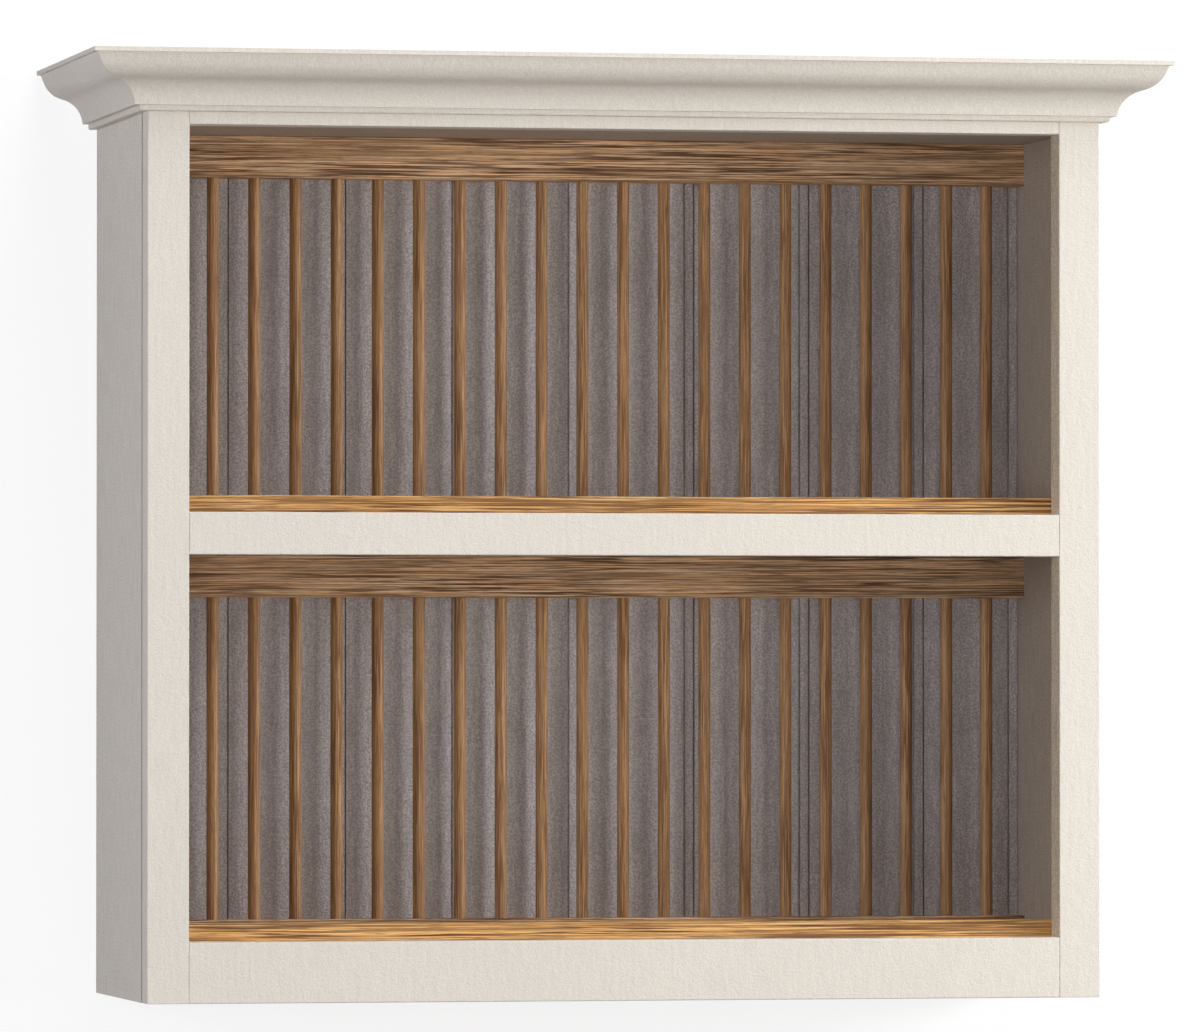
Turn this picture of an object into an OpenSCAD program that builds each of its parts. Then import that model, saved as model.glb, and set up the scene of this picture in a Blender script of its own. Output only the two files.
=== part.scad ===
// Wall plate rack: a painted carcass with a face frame and a mitred cornice,
// a beaded board back, and two oak dowel racks with front lips.
// X runs left to right, Y from the front to the wall, Z up.
// The origin is on the wall plane, at the middle of the bottom edge.

/* [Carcass] */
// Width over the side panels
body_w = 900; // [760:10:1200]
// Depth from the front of the face frame to the wall
body_d = 310; // [300:5:380]
// Thickness of each side panel
side_t = 20; // [16:1:24]
// Thickness of the top, shelf and bottom panels
panel_t = 22; // [18:1:24]
// Depth of the housings cut in the side panels
housing = 6; // [4:0.5:8]
// Height of the face frame and sides above the cornice's lower edge
behind_cornice = 47.5; // [40:0.5:52]

/* [Face frame] */
// Thickness of the stiles and rails
frame_t = 30; // [24:1:36]
// Width of each stile
stile_w = 39; // [32:1:60]
// Height of the bottom rail
bottom_rail_h = 56; // [50:1:90]
// Height of the middle rail
mid_rail_h = 39; // [36:1:60]
// Height of each opening
opening_h = 355.5; // [300:0.5:420]
// Part of the top rail that shows under the cornice
top_rail_show = 11.5; // [6:0.5:40]
// Length of the rails' tenons
tenon_len = 25; // [16:1:28]
// Thickness of the rails' tenons
tenon_t = 10; // [6:1:12]
// Shoulder above and below each tenon
tenon_shoulder = 6; // [4:1:10]
// Tongue on the front edge of a side panel, its thickness
tongue_t = 8; // [6:1:10]
// Tongue on the front edge of a side panel, its length
tongue_len = 8; // [5:1:8]
// Width of the shadow gap between a side panel and its stile
shadow_gap = 4; // [2:0.5:6]
// Depth of the shadow gap
shadow_gap_deep = 2; // [1:0.5:3]
// Radius of the eased edges of painted wood
arris = 1; // [0.5:0.1:2]

/* [Cornice] */
// Height of the bead
bead_h = 5.2; // [4:0.1:8]
// How far the bead stands out
bead_out = 8.1; // [5:0.1:10]
// Step from the bead out to the foot of the ogee
ogee_step = 5.5; // [4:0.5:8]
// Radius of the ogee's hollow and of its round
ogee_r = 25; // [20:0.5:32]
// Slope of the ogee at its foot
foot_slope = 80; // [70:1:85]
// Slope of the ogee at its middle
middle_slope = 13; // [8:1:24]
// Slope of the ogee at its top
top_slope = 68; // [60:1:80]
// Straight length at the foot of the ogee
foot_flat = 3.3; // [1:0.1:6]
// Straight length at the top of the ogee
top_flat = 8.1; // [2:0.1:10]
// Height of the top fillet
fillet_h = 4.1; // [3:0.1:8]
// How far the top fillet stands out from the ogee
fillet_out = 3.8; // [2:0.1:5]

/* [Back boards] */
// Distance from the front of the face frame to the boards
boards_back = 233; // [200:1:240]
// Thickness of the boards
board_t = 12; // [10:0.5:15]
// Width that shows of each end board
end_board_w = 93.1; // [70:0.1:110]
// Width of the flat bead on each board
board_bead = 8.5; // [6:0.5:9]
// Radius of the bead's eased edges
bead_ease = 0.8; // [0.4:0.1:1.5]
// Width of the groove beside the bead
quirk_w = 1.8; // [1:0.1:2.5]
// Depth of the groove beside the bead
quirk_deep = 3; // [1.5:0.1:4]
// Open gap at the joint between two boards
joint_gap = 1; // [0.4:0.1:1.5]
// Thickness of the boards' tongues
board_tongue_t = 3.6; // [3:0.1:4.5]
// Length of the boards' tongues
board_tongue_len = 6; // [4:0.5:8]
// From the back of a board to its tongue
board_tongue_back = 2.5; // [2:0.1:4]

/* [Plate racks] */
// Front-to-back size of the rack rails
rack_rail_d = 27; // [20:1:34]
// Height of each top rack rail
rack_top_h = 39.5; // [30:0.5:50]
// Height of each bottom rack rail
rack_bottom_h = 30; // [24:0.5:36]
// Diameter of the dowels
dowel_d = 11.5; // [8:0.5:16]
// Number of dowels in each rack
dowel_count = 21; // [15:1:23]
// Left side panel to the centre of the first dowel
dowel_left_gap = 37.2; // [20:0.1:60]
// Right side panel to the centre of the last dowel
dowel_right_gap = 34; // [20:0.1:60]
// Depth of the dowels' bores
dowel_bore = 16; // [10:1:20]
// Radius of the eased edges of the oak
oak_arris = 1.2; // [0.5:0.1:2]
// Distance from the openings' top edge up to the ceilings
ceiling_lift = 2; // [0:0.5:6]
// Distance from the bottom rail's top edge down to the floor behind it
floor_drop = 15; // [8:0.5:20]
// How far each lip shows above the rail in front of it
lip_show = 16; // [10:0.5:24]
// Front-to-back size of the lips
lip_d = 18; // [14:1:26]

/* [Hanging rails and screws] */
// Height of each hanging rail
hang_h = 60; // [50:1:80]
// Thickness of each hanging rail
hang_t = 20; // [16:1:24]
// Diameter of the wall screw holes
wall_hole_d = 5.5; // [4:0.5:8]
// Side panel to the centre of a wall screw hole
wall_hole_side = 50; // [30:5:120]
// Carcass edge to the centre of a wall screw hole
wall_hole_edge = 12; // [10:1:16]
// Shank diameter of the small screws
screw_d = 4; // [3:0.5:4.5]
// Head diameter of the small screws
screw_head_d = 8; // [7:0.5:9]
// Length of the screws that hold the back boards and the lips
screw_len = 30; // [26:1:34]
// Length of the screws that hold the cornice
cornice_screw_len = 38; // [36:1:40]
// Height of the cornice screws above the cornice's lower edge
cornice_screw_up = 30; // [26:1:36]
// From the wall and from the face frame to the cornice screws in the sides
cornice_screw_end = 45; // [35:1:55]

/* [Hidden] */
$fn = 48;

// Unit vectors along a slope and square to it, up and inward
function along(slope) = [cos(slope), sin(slope)];
function inward(slope) = [-sin(slope), cos(slope)];

// Clearances, and the overrun of a cut beyond the face it opens
bore_fit = 0.05;
board_fit = 0.1;
end_gap = 1;
screw_fit = 0.25;
over = 1;

// Colours
paint = [0.90, 0.88, 0.83];
inner_paint = [0.58, 0.55, 0.53];
oak = [0.72, 0.50, 0.28];
raw_wood = [0.80, 0.68, 0.50];
steel = [0.72, 0.70, 0.62];

// Places along the width and the depth
half_w = body_w / 2;
inner_half = half_w - side_t;
front_y = -body_d;
carcass_y = front_y + frame_t;
board_y = front_y + boards_back;
board_back_y = board_y + board_t;
rack_y = board_y - rack_rail_d;
dowel_y = board_y - rack_rail_d / 2;

// Places up the height, for the lower tier [0] and the upper tier [1]
tier = opening_h + mid_rail_h;
sill_z = [bottom_rail_h, bottom_rail_h + tier];
head_z = [for (z = sill_z) z + opening_h];
ceiling_z = [for (z = head_z) z + ceiling_lift];
floor_z = [bottom_rail_h - floor_drop, ceiling_z[0] + panel_t];
lip_top_z = [for (z = sill_z) z + lip_show];
bottom_panel_z = floor_z[0] - panel_t;
cornice_z = head_z[1] + top_rail_show;
body_h = cornice_z + behind_cornice;
boards_top_z = ceiling_z[1] + panel_t;

// Cornice: points along the ogee, out from the carcass and up from the cornice's lower edge
ogee_foot = [bead_out + ogee_step, bead_h];
hollow_start = ogee_foot + foot_flat * along(foot_slope);
hollow_centre = hollow_start - ogee_r * inward(foot_slope);
ogee_middle = hollow_centre + ogee_r * inward(middle_slope);
round_centre = ogee_middle + ogee_r * inward(middle_slope);
round_end = round_centre - ogee_r * inward(top_slope);
ogee_end = round_end + top_flat * along(top_slope);
cornice_h = ogee_end.y + fillet_h;
cornice_out = ogee_end.x + fillet_out;
bead_arris = bead_h / 3;
arc_fn = 144;
mitre_reach = cornice_out + over;

// Back boards: the full boards share the width that the two end boards leave
board_count = 8;
board_cover = 2 * (inner_half - end_board_w) / (board_count - 2);
joint_x = [for (i = [1 : board_count - 1]) (i - board_count / 2) * board_cover];
board_left = [for (i = [0 : board_count - 1]) i == 0 ? -inner_half : joint_x[i - 1]];
board_right = [for (i = [0 : board_count - 1]) i == board_count - 1 ? inner_half : joint_x[i]];
board_middle = (board_left + board_right) / 2;
board_tongue_y = board_t - board_tongue_back - board_tongue_t;
panel_z = [bottom_panel_z, ceiling_z[0], ceiling_z[1]];

// Racks
dowel_pitch = (2 * inner_half - dowel_left_gap - dowel_right_gap) / (dowel_count - 1);
dowel_x = [for (i = [0 : dowel_count - 1]) -inner_half + dowel_left_gap + i * dowel_pitch];
rack_top_z = [for (z = ceiling_z) z - rack_top_h];
rack_sill_z = [for (z = floor_z) z + rack_bottom_h];

// Screws: their heads and tips, then their places
head_h = (screw_head_d - screw_d) / 2;
tip_h = 2 * screw_d;
tip_d = 0.6;
slot_w = 1;
slot_len = 0.6 * screw_head_d;
slot_deep = 0.7 * head_h;
screwed_boards = [1, 3, 4, 6];
rack_screw_z = concat(
    [for (z = floor_z) z + (rack_bottom_h - dowel_bore) / 2],
    [for (z = ceiling_z) z - (rack_top_h - dowel_bore) / 2]
);
lip_screw_pitch = inner_half / 2;
lip_screw_x = [for (i = [0 : 3]) (i - 1.5) * lip_screw_pitch];
cornice_screw_pitch = inner_half * 2 / 3;
cornice_screw_x = [for (i = [-1 : 1]) i * cornice_screw_pitch];
cornice_screw_y = [carcass_y + cornice_screw_end, -cornice_screw_end];
cornice_screw_z = cornice_z + cornice_screw_up;

// ---------- shared shapes ----------

// A block given by two opposite corners
module block(low, high) {
    translate(low) cube(high - low);
}

// A section drawn as (Y, Z), run along X from x0 to x1
module along_x(x0, x1) {
    translate([x0, 0, 0]) rotate([90, 0, 90]) linear_extrude(x1 - x0) children();
}

// A section drawn as (X, Z), run along Y from y0 to y1
module along_y(y0, y1) {
    translate([0, y1, 0]) rotate([90, 0, 0]) linear_extrude(y1 - y0) children();
}

// A rectangle from low to high with all four corners rounded
module eased_rect(low, high, r) {
    translate(low + [r, 0]) square(high - low - [2 * r, 0]);
    translate(low + [0, r]) square(high - low - [0, 2 * r]);
    for (x = [low.x + r, high.x - r], y = [low.y + r, high.y - r])
        translate([x, y]) circle(r);
}

// A rectangle from low to high with only the two corners on its left side rounded
module eased_left_rect(low, high, r) {
    translate(low + [r, 0]) square(high - low - [r, 0]);
    translate(low + [0, r]) square([2 * r, high.y - low.y - 2 * r]);
    for (y = [low.y + r, high.y - r]) translate([low.x + r, y]) circle(r);
}

// A countersunk wood screw along +Z, with the top of its head at z = 0
module screw(length) {
    difference() {
        union() {
            cylinder(h = head_h, d1 = screw_head_d, d2 = screw_d);
            cylinder(h = length - tip_h, d = screw_d);
            translate([0, 0, length - tip_h]) cylinder(h = tip_h, d1 = screw_d, d2 = tip_d);
        }
        for (a = [0, 90]) rotate(a)
            block([-slot_len / 2, -slot_w / 2, -over], [slot_len / 2, slot_w / 2, slot_deep]);
    }
}

// The hole for such a screw: countersink, then clear for `clear`, then a close pilot
module screw_hole(length, clear) {
    translate([0, 0, -over]) cylinder(h = over, d = screw_head_d);
    cylinder(h = head_h, d1 = screw_head_d, d2 = screw_d);
    cylinder(h = clear, d = screw_d + 2 * screw_fit);
    cylinder(h = length + end_gap, d = screw_d);
}

// ---------- where the screws go ----------

// Each board is held by one screw to every panel edge
module at_board_screws() {
    for (i = [0 : board_count - 1], z = panel_z)
        translate([board_middle[i], board_back_y, z + panel_t / 2])
            rotate([90, 0, 0]) children();
}

// The rack rails are held from behind, through four of the boards and clear of the bores
module at_rack_screws() {
    for (i = screwed_boards, z = rack_screw_z)
        translate([board_middle[i], board_back_y, z]) rotate([90, 0, 0]) children();
}

// The lips are held from below, through the panel they stand on
module at_lip_screws() {
    for (x = lip_screw_x, t = [0, 1])
        translate([x, carcass_y + lip_d / 2, floor_z[t] - panel_t]) children();
}

// The cornice is held from inside, above the top panel
module at_cornice_screws() {
    for (x = cornice_screw_x)
        translate([x, carcass_y, cornice_screw_z]) rotate([90, 0, 0]) children();
    for (s = [-1, 1], y = cornice_screw_y)
        translate([s * inner_half, y, cornice_screw_z]) rotate([0, s * 90, 0]) children();
}

// ---------- carcass ----------

// The left side panel, with a tongue and a shadow gap at its front edge
module side_panel() {
    inner_x = -inner_half;
    difference() {
        union() {
            block([-half_w, carcass_y, 0], [inner_x, 0, body_h]);
            translate([-half_w + (side_t - tongue_t) / 2, carcass_y - tongue_len, 0])
                cube([tongue_t, tongue_len + over, body_h]);
        }
        block([-half_w - over, carcass_y - over, -over],
              [-half_w + shadow_gap_deep, carcass_y + shadow_gap, body_h + over]);
        for (z = panel_z)
            block([inner_x - housing, carcass_y - over, z], [inner_x + over, board_y, z + panel_t]);
        block([inner_x - housing, board_y, bottom_panel_z], [inner_x + over, board_back_y, body_h + over]);
        block([inner_x - housing, -hang_t, -over], [inner_x + over, over, hang_h]);
        block([inner_x - housing, -hang_t, body_h - hang_h], [inner_x + over, over, body_h + over]);
        at_cornice_screws() screw_hole(cornice_screw_len, side_t);
    }
}

module left_side_panel() {
    color(paint) side_panel();
}

module right_side_panel() {
    color(paint) mirror([1, 0, 0]) side_panel();
}

// A horizontal panel, housed in both sides, with its underside at z
module panel(z) {
    difference() {
        block([-inner_half - housing, carcass_y, z], [inner_half + housing, board_y, z + panel_t]);
        at_board_screws() screw_hole(screw_len, board_t);
    }
}

module top_panel() {
    color(paint) panel(ceiling_z[1]);
}

module middle_shelf() {
    color(paint) difference() {
        panel(ceiling_z[0]);
        at_lip_screws() screw_hole(screw_len, panel_t);
    }
}

module bottom_panel() {
    color(paint) difference() {
        panel(bottom_panel_z);
        at_lip_screws() screw_hole(screw_len, panel_t);
    }
}

// ---------- face frame ----------

// A rail between the stiles, from z0 to z1, with a tenon at each end
module frame_rail(z0, z1) {
    tenon_y = front_y + (frame_t - tenon_t) / 2;
    along_x(-half_w + stile_w, half_w - stile_w)
        eased_left_rect([front_y, z0], [carcass_y, z1], arris);
    block([-half_w + stile_w - tenon_len, tenon_y, z0 + tenon_shoulder],
          [half_w - stile_w + tenon_len, tenon_y + tenon_t, z1 - tenon_shoulder]);
}

// The left stile, grooved for the side panel and mortised for the rails
module stile() {
    tenon_y = front_y + (frame_t - tenon_t) / 2;
    inner_x = -half_w + stile_w;
    difference() {
        translate([-half_w, 0, 0]) linear_extrude(body_h) rotate(90) mirror([0, 1])
            eased_left_rect([front_y, 0], [carcass_y, stile_w], arris);
        translate([-half_w + (side_t - tongue_t) / 2, carcass_y - tongue_len - end_gap, -over])
            cube([tongue_t, tongue_len + end_gap + over, body_h + 2 * over]);
        for (r = [[0, sill_z[0]], [head_z[0], sill_z[1]], [head_z[1], body_h]])
            block([inner_x - tenon_len - end_gap, tenon_y, r[0] + tenon_shoulder],
                  [inner_x + over, tenon_y + tenon_t, r[1] - tenon_shoulder]);
    }
}

module left_stile() {
    color(paint) stile();
}

module right_stile() {
    color(paint) mirror([1, 0, 0]) stile();
}

module top_rail() {
    color(paint) difference() {
        frame_rail(head_z[1], body_h);
        at_cornice_screws() screw_hole(cornice_screw_len, frame_t);
    }
}

module middle_rail() {
    color(paint) frame_rail(head_z[0], sill_z[1]);
}

module bottom_rail() {
    color(paint) frame_rail(0, sill_z[0]);
}

// ---------- cornice ----------

// Section of the cornice as (out from the carcass, up from its lower edge)
module cornice_section() {
    round_tangent = ogee_r * tan((top_slope - middle_slope) / 2) * along(middle_slope);
    eased_step([bead_out, bead_h], bead_arris);
    difference() {
        polygon([
            [0, bead_h], ogee_foot, hollow_start, ogee_middle,
            round_end, ogee_end, [0, ogee_end.y]]);
        translate(hollow_centre) circle(ogee_r, $fn = arc_fn);
    }
    intersection() {
        translate(round_centre) circle(ogee_r, $fn = arc_fn);
        polygon([ogee_middle, ogee_middle + round_tangent, round_end]);
    }
    translate([0, ogee_end.y]) square([cornice_out, fillet_h]);
}

// A rectangle from the origin with its lower right corner rounded
module eased_step(size, r) {
    translate([0, r]) square(size - [0, r]);
    square([size.x - r, 2 * r]);
    translate([size.x - r, r]) circle(r);
}

// The plan of one mitred length, raised over the cornice's whole height
module mitre_prism(plan) {
    translate([0, 0, cornice_z - over]) linear_extrude(cornice_h + 2 * over) polygon(plan);
}

module cornice_front() {
    color(paint) difference() {
        intersection() {
            along_x(-half_w - cornice_out, half_w + cornice_out)
                translate([front_y, cornice_z]) mirror([1, 0]) cornice_section();
            mitre_prism([
                [-half_w, front_y], [-half_w - mitre_reach, front_y - mitre_reach],
                [half_w + mitre_reach, front_y - mitre_reach], [half_w, front_y]]);
        }
        at_cornice_screws() screw_hole(cornice_screw_len, frame_t);
    }
}

module cornice_return() {
    difference() {
        intersection() {
            along_y(front_y - cornice_out, 0)
                translate([-half_w, cornice_z]) mirror([1, 0]) cornice_section();
            mitre_prism([
                [-half_w, over], [-half_w - mitre_reach, over],
                [-half_w - mitre_reach, front_y - mitre_reach], [-half_w, front_y]]);
        }
        at_cornice_screws() screw_hole(cornice_screw_len, side_t);
    }
}

module cornice_left() {
    color(paint) cornice_return();
}

module cornice_right() {
    color(paint) mirror([1, 0, 0]) cornice_return();
}

// ---------- back boards ----------

// Plan of board i, with its beaded face at y = 0 and its back at y = board_t.
// The bead is on its right edge. Joints are tongued; the outer edges sit in the sides.
module board_plan(i) {
    x0 = board_left[i];
    x1 = board_right[i];
    bead_x = x1 - board_bead;
    first = i == 0;
    last = i == board_count - 1;
    difference() {
        translate([x0 - (first ? housing : 0), 0])
            square([x1 - x0 + (first ? housing : 0) + (last ? housing : 0), board_t]);
        translate([bead_x - quirk_w, -over]) square([quirk_w, quirk_deep + over]);
        translate([bead_x - quirk_w / 2, -over])
            square([quirk_w / 2 + board_bead + (last ? 0 : over), bead_ease + over]);
        if (!first) board_groove(x0);
    }
    translate([bead_x + bead_ease, 0]) square([board_bead - 2 * bead_ease, 2 * bead_ease]);
    for (x = [bead_x + bead_ease, x1 - bead_ease]) translate([x, bead_ease]) circle(bead_ease);
    if (!last) translate([x1 - over, board_tongue_y]) square([board_tongue_len + over, board_tongue_t]);
}

// The groove in a board's left edge at x, with the face in front of it cut back by the joint gap
module board_groove(x) {
    translate([x - over, board_tongue_y - board_fit])
        square([board_tongue_len + end_gap + over, board_tongue_t + 2 * board_fit]);
    translate([x - over, -over]) square([joint_gap + over, board_tongue_y + over]);
}

module back_board(i) {
    color(inner_paint) difference() {
        translate([0, board_y, bottom_panel_z]) linear_extrude(boards_top_z - bottom_panel_z) board_plan(i);
        at_board_screws() screw_hole(screw_len, board_t);
        at_rack_screws() screw_hole(screw_len, board_t);
    }
}

// ---------- hanging rails ----------

// A rail at the wall plane, with its lower edge at z and its screw holes at hole_z
module hanging_rail(z, hole_z) {
    color(raw_wood) difference() {
        block([-inner_half - housing, -hang_t, z], [inner_half + housing, 0, z + hang_h]);
        for (s = [-1, 1]) translate([s * (inner_half - wall_hole_side), over, hole_z]) rotate([90, 0, 0])
            cylinder(h = hang_t + 2 * over, d = wall_hole_d);
    }
}

module upper_hanging_rail() {
    hanging_rail(body_h - hang_h, body_h - wall_hole_edge);
}

module lower_hanging_rail() {
    hanging_rail(0, wall_hole_edge);
}

// ---------- plate racks ----------

// A rack rail from z0 to z1, bored for the dowels from the face at bore_z
module rack_rail(z0, z1, bore_z) {
    color(oak) difference() {
        along_x(-inner_half, inner_half) eased_left_rect([rack_y, z0], [board_y, z1], oak_arris);
        for (x = dowel_x) translate([x, dowel_y, bore_z - dowel_bore])
            cylinder(h = 2 * dowel_bore, d = dowel_d + 2 * bore_fit);
        at_rack_screws() screw_hole(screw_len, board_t);
    }
}

// The dowels of one rack: each stands on the floor of its lower bore
module rack_dowels(t) {
    z0 = rack_sill_z[t] - dowel_bore;
    z1 = rack_top_z[t] + dowel_bore - end_gap;
    color(oak) for (x = dowel_x) translate([x, dowel_y, z0]) cylinder(h = z1 - z0, d = dowel_d);
}

module upper_rack_top_rail() {
    rack_rail(rack_top_z[1], ceiling_z[1], rack_top_z[1]);
}

module upper_rack_bottom_rail() {
    rack_rail(floor_z[1], rack_sill_z[1], rack_sill_z[1]);
}

module upper_rack_dowels() {
    rack_dowels(1);
}

module lower_rack_top_rail() {
    rack_rail(rack_top_z[0], ceiling_z[0], rack_top_z[0]);
}

module lower_rack_bottom_rail() {
    rack_rail(floor_z[0], rack_sill_z[0], rack_sill_z[0]);
}

module lower_rack_dowels() {
    rack_dowels(0);
}

// ---------- front lips ----------

// A lip that stands on the floor of tier t, against the back of the face frame
module front_lip(t) {
    color(oak) difference() {
        along_x(-inner_half, inner_half)
            eased_rect([carcass_y, floor_z[t]], [carcass_y + lip_d, lip_top_z[t]], oak_arris);
        at_lip_screws() screw_hole(screw_len, panel_t);
    }
}

module upper_front_lip() {
    front_lip(1);
}

module lower_front_lip() {
    front_lip(0);
}

// ---------- screws ----------

module board_screws() {
    color(steel) at_board_screws() screw(screw_len);
}

module rack_screws() {
    color(steel) at_rack_screws() screw(screw_len);
}

module lip_screws() {
    color(steel) at_lip_screws() screw(screw_len);
}

module cornice_screws() {
    color(steel) at_cornice_screws() screw(cornice_screw_len);
}

// ---------- the assembly ----------

left_side_panel();
right_side_panel();
top_panel();
middle_shelf();
bottom_panel();
left_stile();
right_stile();
top_rail();
middle_rail();
bottom_rail();
cornice_front();
cornice_left();
cornice_right();
for (i = [1 : 8]) back_board(i - 1);
upper_hanging_rail();
lower_hanging_rail();
upper_rack_top_rail();
upper_rack_bottom_rail();
upper_rack_dowels();
lower_rack_top_rail();
lower_rack_bottom_rail();
lower_rack_dowels();
upper_front_lip();
lower_front_lip();
board_screws();
rack_screws();
lip_screws();
cornice_screws();
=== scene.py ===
import math

import bpy
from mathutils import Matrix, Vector

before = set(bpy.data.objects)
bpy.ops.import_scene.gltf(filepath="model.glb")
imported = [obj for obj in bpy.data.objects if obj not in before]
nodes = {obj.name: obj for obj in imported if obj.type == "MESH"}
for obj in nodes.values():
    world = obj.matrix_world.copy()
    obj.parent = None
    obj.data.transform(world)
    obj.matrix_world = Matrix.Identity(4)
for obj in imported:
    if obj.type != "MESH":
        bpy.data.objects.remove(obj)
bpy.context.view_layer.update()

# ---------- the photograph's camera, in metres and degrees ----------
CAMERA_LEFT = 1.768          # left of the rack's middle
CAMERA_FRONT = 8.695         # in front of the wall plane
CAMERA_UP = 0.308            # above the rack's bottom edge
CAMERA_TURN = 11.73          # turned to the right
CAMERA_TILT = 0.936          # tilted up
LEVEL = 90                   # a camera's own turn about X when it looks level
LENS_MM = 278.0
SENSOR_MM = 36.0
FARTHEST = 60                # the camera sees nothing beyond


def make_camera():
    """The camera stands low, to the left and far away, as the photograph's did."""
    data = bpy.data.cameras.new("camera")
    data.lens = LENS_MM
    data.sensor_width = SENSOR_MM
    data.clip_end = FARTHEST
    cam = bpy.data.objects.new("camera", data)
    cam.location = (-CAMERA_LEFT, -CAMERA_FRONT, CAMERA_UP)
    cam.rotation_euler = (math.radians(LEVEL + CAMERA_TILT), 0, math.radians(-CAMERA_TURN))
    bpy.context.collection.objects.link(cam)
    bpy.context.scene.camera = cam


# ---------- small helpers for node trees ----------

class Tree:
    """A material's node tree, with short ways to add the nodes that the finishes share."""

    def __init__(self, name):
        self.material = bpy.data.materials.new(name)
        self.material.use_nodes = True
        self.tree = self.material.node_tree
        self.shader = self.tree.nodes["Principled BSDF"]
        self.coords = self.tree.nodes.new("ShaderNodeTexCoord").outputs["Object"]

    def add(self, kind, inputs=None, **settings):
        node = self.tree.nodes.new("ShaderNode" + kind)
        for key, value in settings.items():
            setattr(node, key, value)
        for key, value in (inputs or {}).items():
            self.set(node.inputs[key], value)
        return node

    def set(self, socket, value):
        if isinstance(value, bpy.types.NodeSocket):
            self.tree.links.new(value, socket)
        else:
            socket.default_value = value

    def scaled(self, x, y, z):
        """Object coordinates, stretched per axis."""
        return self.add("Mapping", {"Vector": self.coords, "Scale": (x, y, z)}).outputs[0]

    def noise(self, vector, scale, detail, rough=0.5, distort=0.0):
        inputs = {"Vector": vector, "Scale": scale, "Detail": detail,
                  "Roughness": rough, "Distortion": distort}
        return self.add("TexNoise", inputs).outputs["Fac"]

    def remap(self, value, low, high, to_low=0.0, to_high=1.0):
        inputs = {"Value": value, "From Min": low, "From Max": high,
                  "To Min": to_low, "To Max": to_high}
        return self.add("MapRange", inputs).outputs[0]

    def maths(self, operation, a, b):
        return self.add("Math", {0: a, 1: b}, operation=operation).outputs[0]

    def mix(self, factor, a, b, data_type="RGBA"):
        """Goes from colour or vector `a` to `b` as the factor goes from 0 to 1."""
        node = self.add("Mix", data_type=data_type)
        for key, value in (("Factor", factor), ("A", a), ("B", b)):
            self.set(next(s for s in node.inputs if s.name == key and s.enabled), value)
        return next(s for s in node.outputs if s.enabled)

    def mix_vector(self, factor, a, b):
        return self.mix(factor, a, b, "VECTOR")

    def bump(self, height, strength, distance, normal=None):
        inputs = {"Height": height, "Strength": strength, "Distance": distance}
        if normal is not None:
            inputs["Normal"] = normal
        return self.add("Bump", inputs).outputs[0]

    def finish(self, color=None, roughness=None, normal=None, **constants):
        for name, value in (("Base Color", color), ("Roughness", roughness), ("Normal", normal)):
            if value is not None:
                self.set(self.shader.inputs[name], value)
        for name, value in constants.items():
            self.shader.inputs[name.replace("_", " ")].default_value = value
        return self.material


def rgba(r, g, b):
    return (r, g, b, 1.0)


def shade(color, factor):
    return tuple(c * factor for c in color[:3]) + (1.0,)


# ---------- finishes; noise scales are per metre ----------

PEBBLES = 600
PEBBLE_MIDDLE = 0.51         # about the pebble noise's mean
DIMPLES = 160
BRUSH = (300, 300, 30)       # brushed upright
CLOUDS = 3                   # faint changes of tone
SHEEN_PATCHES = 60
NOISE_SPAN = (0.3, 0.7)      # where most of a noise's values lie
CLOUD_SHADE = 0.96
PIT_SHADE = 0.5
BRUSH_SHARE = 0.6            # how dark the brush marks are beside the pits
LIFT = 0.4                   # lightens the film by what its pits take away
PAINT_ROUGH = (0.46, 0.6)
PAINT_GLOSS = 0.3            # specular level

STREAKS = 420                # oak, across the grain
VEINS = 360
VEIN_PATCHES = 70
PORES = 1500
BANDS = 55
VEIN_EDGES = (0.03, 0.085)   # a vein is dark up to the first and gone at the second
GRAIN_SHIFT = 0.003          # how far the grain wanders, in metres
OAK_ROUGH = (0.48, 0.68)
OAK_GLOSS = 0.28


def paint(t, color, speck, texture, spread):
    """Brushed eggshell on wood: a fine pebbled film, dark in its pits, with faint tone changes.

    `color` is its mean. A larger `speck` darkens the pits, a larger `texture` deepens the
    relief, and a smaller `spread` hardens the pits' edges.
    """
    tone = t.noise(t.scaled(CLOUDS, CLOUDS, CLOUDS), 1.0, 3)
    pebble = t.noise(t.coords, PEBBLES, 2, 0.6)
    brush = t.noise(t.scaled(*BRUSH), 1.0, 3, 0.6)
    dimple = t.noise(t.coords, DIMPLES, 3, 0.6, 0.8)
    color = shade(color, 1.0 + LIFT * speck)
    pits = shade(color, PIT_SHADE)
    in_pit = t.remap(pebble, PEBBLE_MIDDLE - spread, PEBBLE_MIDDLE + spread, 0.0, speck)
    base = t.mix(t.remap(tone, *NOISE_SPAN), shade(color, CLOUD_SHADE), color)
    base = t.mix(in_pit, base, pits)
    base = t.mix(t.remap(brush, 0.36, 0.66, 0.0, speck * BRUSH_SHARE), base, pits)
    normal = t.bump(pebble, 0.30 * texture, 0.0009)
    normal = t.bump(dimple, 0.25 * texture, 0.0016, normal)
    rough = t.remap(t.noise(t.coords, SHEEN_PATCHES, 3), *NOISE_SPAN, *PAINT_ROUGH)
    return base, rough, normal


def painted(name, color, *texture):
    t = Tree(name)
    base, rough, normal = paint(t, color, *texture)
    return t.finish(base, rough, normal, Specular_IOR_Level=PAINT_GLOSS)


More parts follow.
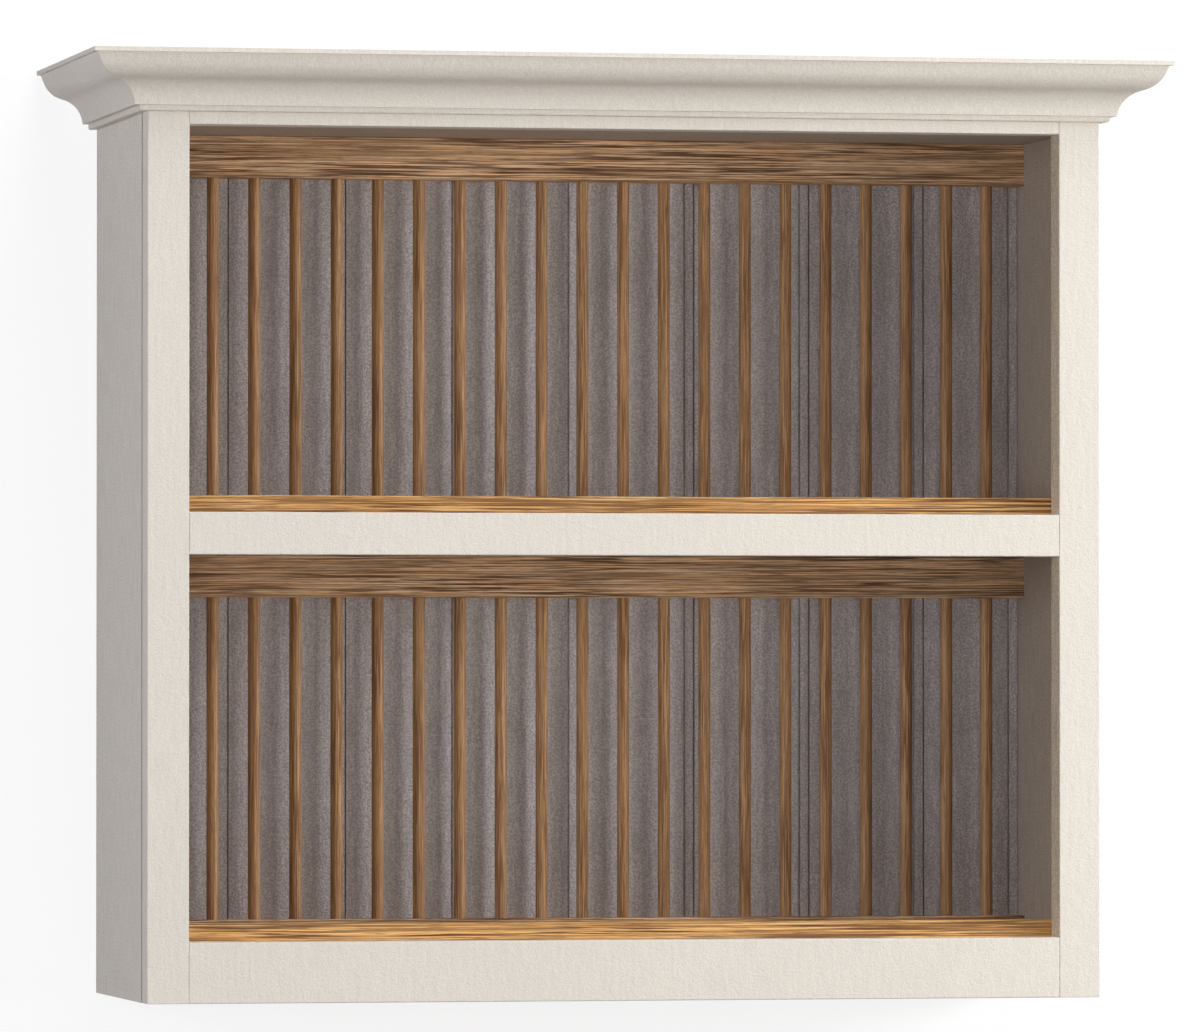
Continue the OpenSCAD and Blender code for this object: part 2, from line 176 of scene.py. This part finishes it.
def two_painted(name, edge, inner_color, cream_texture):
    """Cream outside, painted shade in the shadow gap, and a darker paint further in than `edge`.
    """
    t = Tree(name)
    cream, rough, normal = paint(t, CREAM, *cream_texture)
    inner, _, inner_normal = paint(t, inner_color, *INNER_EDGE_TEXTURE)
    place = t.add("SeparateXYZ", {0: t.coords}).outputs
    inside = t.maths("LESS_THAN", t.maths("ABSOLUTE", place[0], 0.0), edge)
    # painted shade: the cream is darkened in the shadow gap between stile and side panel, where
    # shade falls
    gap_painted_shade = t.maths("MULTIPLY", t.maths("LESS_THAN", place[1], GAP_BACK),
                     t.maths("GREATER_THAN", place[1], GAP_FRONT))
    base = t.mix(gap_painted_shade, t.mix(inside, cream, inner), shade(CREAM, GAP_SHADE))
    facing = t.mix_vector(inside, normal, inner_normal)
    return t.finish(base, rough, facing, Specular_IOR_Level=PAINT_GLOSS)


def oak(name, axis, fleck, fine, light, middle, dark):
    """Oiled oak with straight grain along `axis` (0 for X, 2 for Z) and thin dark veins.

    A larger `fleck` makes the veins shorter, and a larger `fine` sets them closer together.
    Each noise is stretched: its first scale is across the grain, its second along it.
    """
    t = Tree(name)

    def stretched(across, along):
        scale = [across, across, across]
        scale[axis] = along
        return t.scaled(*scale)

    waves = {"Vector": stretched(16, 5), "Scale": 1.0, "Detail": 2.0}
    drift = t.add("TexNoise", waves).outputs["Color"]
    t.coords = t.mix_vector(GRAIN_SHIFT, t.coords, drift)
    streaks = t.noise(stretched(STREAKS * fine, 4), 1.0, 3, 0.6, 0.1)
    field = t.noise(stretched(VEINS * fine, fleck), 1.0, 2, 0.5)
    from_middle = t.maths("ABSOLUTE", t.maths("SUBTRACT", field, 0.5), 0.0)
    vein = t.remap(from_middle, *VEIN_EDGES, 1.0, 0.0)
    patch = t.remap(t.noise(stretched(VEIN_PATCHES, fleck), 1.0, 2), 0.36, 0.6, 0.45, 1.0)
    lines = t.maths("MULTIPLY", vein, patch)
    pores = t.noise(stretched(PORES, 8 * fleck), 1.0, 2, 0.6)
    bands = t.noise(stretched(BANDS, 2), 1.0, 2)
    base = t.mix(t.remap(streaks, 0.41, 0.59), middle, light)
    base = t.mix(t.remap(bands, 0.36, 0.64, 0.0, 0.4), base, middle)
    base = t.mix(lines, base, dark)
    base = t.mix(t.remap(pores, 0.52, 0.62, 0.0, 0.6), base, dark)
    relief = t.maths("SUBTRACT", streaks, t.maths("MULTIPLY", lines, 0.5))
    normal = t.bump(relief, 0.35, 0.0008)
    rough = t.remap(lines, 0.0, 1.0, *OAK_ROUGH)
    return t.finish(base, rough, normal, Specular_IOR_Level=OAK_GLOSS)


def softwood(name):
    t = Tree(name)
    rings = t.noise(t.scaled(2.0, 90, 90), 1.0, 4, 0.55, 0.5)
    fibre = t.noise(t.scaled(9.0, 700, 700), 1.0, 2)
    base = t.mix(t.remap(rings, 0.35, 0.62), rgba(0.62, 0.43, 0.24), rgba(0.42, 0.25, 0.11))
    base = t.mix(t.remap(fibre, 0.4, 0.7, 0.0, 0.3), base, rgba(0.3, 0.18, 0.09))
    normal = t.bump(t.maths("ADD", rings, fibre), 0.2, 0.0006)
    return t.finish(base, t.remap(fibre, *NOISE_SPAN, 0.6, 0.78), normal)


def zinc(name):
    t = Tree(name)
    haze = t.noise(t.coords, 900, 3)
    base = t.mix(t.remap(haze, *NOISE_SPAN), rgba(0.30, 0.28, 0.22), rgba(0.42, 0.40, 0.35))
    rough = t.remap(haze, *NOISE_SPAN, 0.28, 0.45)
    return t.finish(base, rough, t.bump(haze, 0.15, 0.0002), Metallic=1.0)


SIDE_MIDDLE = 0.440          # half-way through a side panel, out from the rack's middle
STILE_EDGE = 0.4115          # just past a stile's inner edge
GAP_FRONT = -0.2799          # the shadow gap between stile and side panel, in Y
GAP_BACK = -0.2753
# how dark the painted shade in the shadow gap is, as a share of the cream
GAP_SHADE = 0.6

# mean colours, and textures as speck, relief and spread
CREAM = rgba(0.77, 0.70, 0.631)
INNER = rgba(0.399, 0.326, 0.268)
# the stiles' reveals take the inner paint, lightened as painted light for the light they catch
# near the front
LIT_REVEAL_PAINT = rgba(0.596, 0.492, 0.382)
BOARD = rgba(0.627, 0.576, 0.588)
FRONT_TEXTURE = (0.2, 1.4, 0.11)
SIDE_TEXTURE = (0.55, 1.4, 0.06)
INNER_TEXTURE = (0.6, 1.6, 0.06)
INNER_EDGE_TEXTURE = (0.8, 1.6, 0.06)
BOARD_TEXTURE = (0.72, 4.0, 0.045)
cream_paint = painted("cream_paint", CREAM, *FRONT_TEXTURE)
side_paint = two_painted("side_paint", SIDE_MIDDLE, INNER, SIDE_TEXTURE)
stile_paint = two_painted("stile_paint", STILE_EDGE, LIT_REVEAL_PAINT, FRONT_TEXTURE)
inner_paint = painted("inner_paint", INNER, *INNER_TEXTURE)
board_paint = painted("board_paint", BOARD, *BOARD_TEXTURE)
rail_oak = oak("rail_oak", 0, 5, 1.25,
               rgba(0.92, 0.60, 0.37), rgba(0.585, 0.343, 0.178),
               rgba(0.11, 0.048, 0.022))
lip_oak = oak("lip_oak", 0, 4, 1.2,
              rgba(0.865, 0.515, 0.206), rgba(0.55, 0.277, 0.095),
              rgba(0.13, 0.05, 0.016))
dowel_oak = oak("dowel_oak", 2, 9, 1.5,
                rgba(0.55, 0.32, 0.157), rgba(0.42, 0.224, 0.102),
                rgba(0.21, 0.098, 0.043))
softwood_mat = softwood("raw_softwood")
zinc_mat = zinc("zinc")


def finish_of(name):
    if "screws" in name:
        return zinc_mat
    if "hanging" in name:
        return softwood_mat
    if "dowels" in name:
        return dowel_oak
    if "lip" in name:
        return lip_oak
    if "rack" in name:
        return rail_oak
    if "side" in name:
        return side_paint
    if "stile" in name:
        return stile_paint
    if "board" in name:
        return board_paint
    if "panel" in name or "shelf" in name:
        return inner_paint
    return cream_paint


SAME_POINT = 1e-6            # metres
FLAT_DEG = 0.2               # faces this close in angle become one
EASED = 0.0006               # the radius of the eased edges, in metres
EASED_STEPS = 2
SHARP_DEG = 40               # edges sharper than this are eased
FACE_WEIGHT = 100            # flat faces keep their own normals beside the eased edges


def dress(name, obj):
    """Gives a CAD node its finish and slightly rounded edges."""
    obj.data.materials.clear()
    obj.data.materials.append(finish_of(name))
    weld = obj.modifiers.new("weld", "WELD")
    weld.merge_threshold = SAME_POINT
    if "screws" not in name:
        flat = obj.modifiers.new("flat", "DECIMATE")
        flat.decimate_type = "DISSOLVE"
        flat.angle_limit = math.radians(FLAT_DEG)
        bevel = obj.modifiers.new("bevel", "BEVEL")
        bevel.width = EASED
        bevel.segments = EASED_STEPS
        bevel.limit_method = "ANGLE"
        bevel.angle_limit = math.radians(SHARP_DEG)
        facing = obj.modifiers.new("facing", "WEIGHTED_NORMAL")
        facing.weight = FACE_WEIGHT
        facing.keep_sharp = True


# ---------- stage and light ----------

WHITE = rgba(1.0, 1.0, 1.0)
STAGE_WHITE = rgba(0.232, 0.22, 0.222)
STAGE_GLOW = 0.82            # round the rack, where the lamps add the rest of the white
NEAR = 1.5                   # the stage's own white grows from here, in metres from the rack
FAR = 3.0
STAGE_SIZE = 40
WALL_Y = 0.0008              # just behind the wall plane
FLOOR_Z = -1.35              # below the rack, which hangs on the wall


def pale_stage(name, location, rotation):
    """A one-sided plane for the camera only: mostly white of itself, with a faint shadow."""
    bpy.ops.mesh.primitive_plane_add(size=STAGE_SIZE, location=location, rotation=rotation)
    plane = bpy.context.object
    plane.name = name
    t = Tree(name)
    nodes_, links = t.tree.nodes, t.tree.links
    t.finish(STAGE_WHITE, Specular_IOR_Level=0.0, Emission_Color=WHITE, Roughness=0.9)
    away = t.add("VectorMath", {0: t.coords}, operation="LENGTH").outputs["Value"]
    links.new(t.remap(away, NEAR, FAR, STAGE_GLOW, 1.0), t.shader.inputs["Emission Strength"])
    clear = nodes_.new("ShaderNodeBsdfTransparent")
    side = nodes_.new("ShaderNodeNewGeometry").outputs["Backfacing"]
    mix = nodes_.new("ShaderNodeMixShader")
    links.new(side, mix.inputs[0])
    links.new(t.shader.outputs[0], mix.inputs[1])
    links.new(clear.outputs[0], mix.inputs[2])
    links.new(mix.outputs[0], nodes_["Material Output"].inputs["Surface"])
    plane.data.materials.append(t.material)
    for flag in ("visible_diffuse", "visible_glossy", "visible_transmission", "visible_shadow"):
        setattr(plane, flag, False)


AIM = Vector((0, -0.2, 0.43))
WARM = (1.07, 1.02, 0.89)
COOL = (0.935, 1.015, 1.09)
PLAIN = (0.99, 1.02, 1.03)
ROSE = (1.06, 0.91, 0.97)
WORLD_STRENGTH = 0.009
LAMPS = (                    # name, place, size, watts and tint
    ("right", (2.6, -2.2, 0.35), (1.9, 1.2), 40, WARM),
    ("far_right", (4.0, -1.9, 1.1), (1.9, 1.2), 125, COOL),
    ("front_left", (-2.6, -3.2, 0.6), (1.6, 1.6), 11, WARM),
    ("far_left", (-3.5, -2.2, 0.6), (1.8, 1.2), 47, COOL),
    ("side_left", (-3.2, -0.45, 0.5), (1.0, 1.6), 7, ROSE),
    ("front_high", (0.3, -3.0, 3.2), (1.6, 1.6), 26, PLAIN),
    ("top", (0, -1.2, 3.0), (1.6, 1.6), 32, PLAIN),
    ("floor_bounce", (0, -3.0, -1.6), (2.0, 2.0), 21, PLAIN),
    ("behind", (0, 3.4, 1.4), (0.8, 1.6), 70, PLAIN),
)


def area_light(name, location, size, power, color):
    """A soft box aimed at the middle of the rack."""
    data = bpy.data.lights.new(name, "AREA")
    data.shape = "RECTANGLE"
    data.size, data.size_y = size
    data.energy = power
    data.color = color
    lamp = bpy.data.objects.new(name, data)
    lamp.location = location
    lamp.rotation_euler = (AIM - lamp.location).to_track_quat("-Z", "Y").to_euler()
    bpy.context.collection.objects.link(lamp)


def world_light(strength):
    """Soft light from all round; the camera and mirrors see plain white instead."""
    world = bpy.data.worlds.new("world")
    bpy.context.scene.world = world
    world.use_nodes = True
    tree = world.node_tree
    tree.nodes.clear()
    ambient = tree.nodes.new("ShaderNodeBackground")
    ambient.inputs["Color"].default_value = WHITE
    ambient.inputs["Strength"].default_value = strength
    white = tree.nodes.new("ShaderNodeBackground")
    white.inputs["Color"].default_value = WHITE
    path = tree.nodes.new("ShaderNodeLightPath")
    glossy = tree.nodes.new("ShaderNodeMath")
    either = tree.nodes.new("ShaderNodeMath")
    glossy.operation = either.operation = "MAXIMUM"
    pick = tree.nodes.new("ShaderNodeMixShader")
    out = tree.nodes.new("ShaderNodeOutputWorld")
    tree.links.new(path.outputs["Is Glossy Ray"], glossy.inputs[0])
    tree.links.new(path.outputs["Is Transmission Ray"], glossy.inputs[1])
    tree.links.new(path.outputs["Is Camera Ray"], either.inputs[0])
    tree.links.new(glossy.outputs[0], either.inputs[1])
    tree.links.new(either.outputs[0], pick.inputs[0])
    tree.links.new(ambient.outputs[0], pick.inputs[1])
    tree.links.new(white.outputs[0], pick.inputs[2])
    tree.links.new(pick.outputs[0], out.inputs["Surface"])


make_camera()
for node_name, node_object in nodes.items():
    dress(node_name, node_object)
pale_stage("wall", (0, WALL_Y, 0), (math.radians(90), 0, 0))
pale_stage("floor", (0, 0, FLOOR_Z), (0, 0, 0))
world_light(WORLD_STRENGTH)
for lamp in LAMPS:
    area_light(*lamp)
bpy.context.scene.view_settings.view_transform = "Standard"
